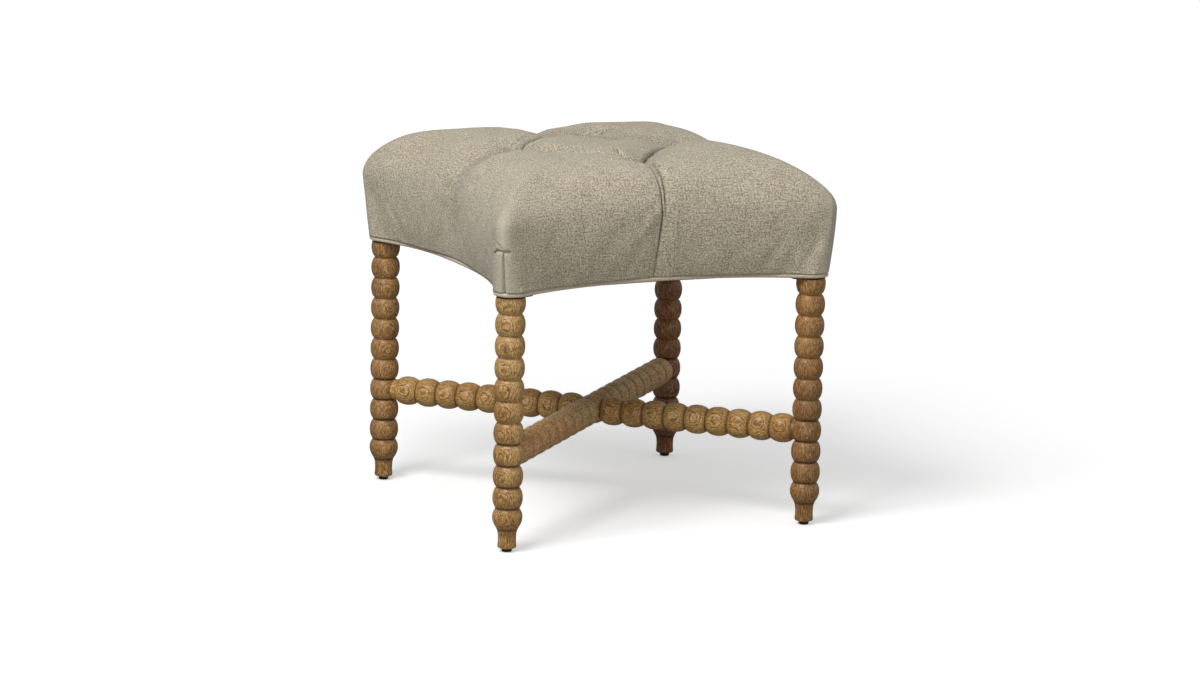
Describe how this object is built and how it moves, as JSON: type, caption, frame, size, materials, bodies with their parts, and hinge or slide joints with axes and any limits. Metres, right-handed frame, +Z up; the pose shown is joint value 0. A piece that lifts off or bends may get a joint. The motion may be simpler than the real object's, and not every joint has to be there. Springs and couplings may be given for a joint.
{
  "type": "upholstered stool with turned legs and x stretcher",
  "caption": "Square footstool: a tufted linen seat with scooped sides on bobbin-turned legs, braced by crossed bobbin-turned stretchers.",
  "frame": {"origin": "on the floor, under the middle of the seat", "axes": "+Z up, +X to the right of the front side, +Y to the back; the legs stand on the diagonals"},
  "size_m": [0.5104, 0.5104, 0.5263],
  "materials": {
    "oak": "satin, limed grain",
    "frame_wood": "raw sawn",
    "plywood": "raw",
    "linen": "woven linen, matt",
    "welt_linen": "woven linen on the bias, matt",
    "foam": "matt",
    "wadding": "matt",
    "cambric": "spun-bonded, matt",
    "steel": "zinc plated",
    "black_nylon": "matt moulded",
    "twine": "waxed"
  },
  "bodies": {
    "root": {"leg_front_left": "oak", "glide_front_left": "black_nylon", "leg_front_right": "oak", "glide_front_right": "black_nylon", "leg_back_right": "oak", "glide_back_right": "black_nylon", "leg_back_left": "oak", "glide_back_left": "black_nylon", "stretcher_upper": "oak", "stretcher_lower": "oak", "stretcher_pin": "frame_wood", "corner_post_front_left": "frame_wood", "hanger_bolt_front_left": "steel", "bolt_washer_front_left": "steel", "bolt_nut_front_left": "steel", "corner_post_front_right": "frame_wood", "hanger_bolt_front_right": "steel", "bolt_washer_front_right": "steel", "bolt_nut_front_right": "steel", "corner_post_back_right": "frame_wood", "hanger_bolt_back_right": "steel", "bolt_washer_back_right": "steel", "bolt_nut_back_right": "steel", "corner_post_back_left": "frame_wood", "hanger_bolt_back_left": "steel", "bolt_washer_back_left": "steel", "bolt_nut_back_left": "steel", "rail_right": "frame_wood", "rail_back": "frame_wood", "rail_left": "frame_wood", "rail_front": "frame_wood", "seat_deck": "plywood", "deck_screw_right_1": "steel", "deck_screw_right_2": "steel", "deck_screw_back_1": "steel", "deck_screw_back_2": "steel", "deck_screw_left_1": "steel", "deck_screw_left_2": "steel", "deck_screw_front_1": "steel", "deck_screw_front_2": "steel", "tuft_tie_right": "twine", "tuft_toggle_right": "black_nylon", "tuft_tie_back": "twine", "tuft_toggle_back": "black_nylon", "tuft_tie_left": "twine", "tuft_toggle_left": "black_nylon", "tuft_tie_front": "twine", "tuft_toggle_front": "black_nylon", "seat_pad": "foam", "edge_wadding": "wadding", "seat_cover": "linen", "welt": "welt_linen", "dust_cover": "cambric"}
  },
  "joints": []
}
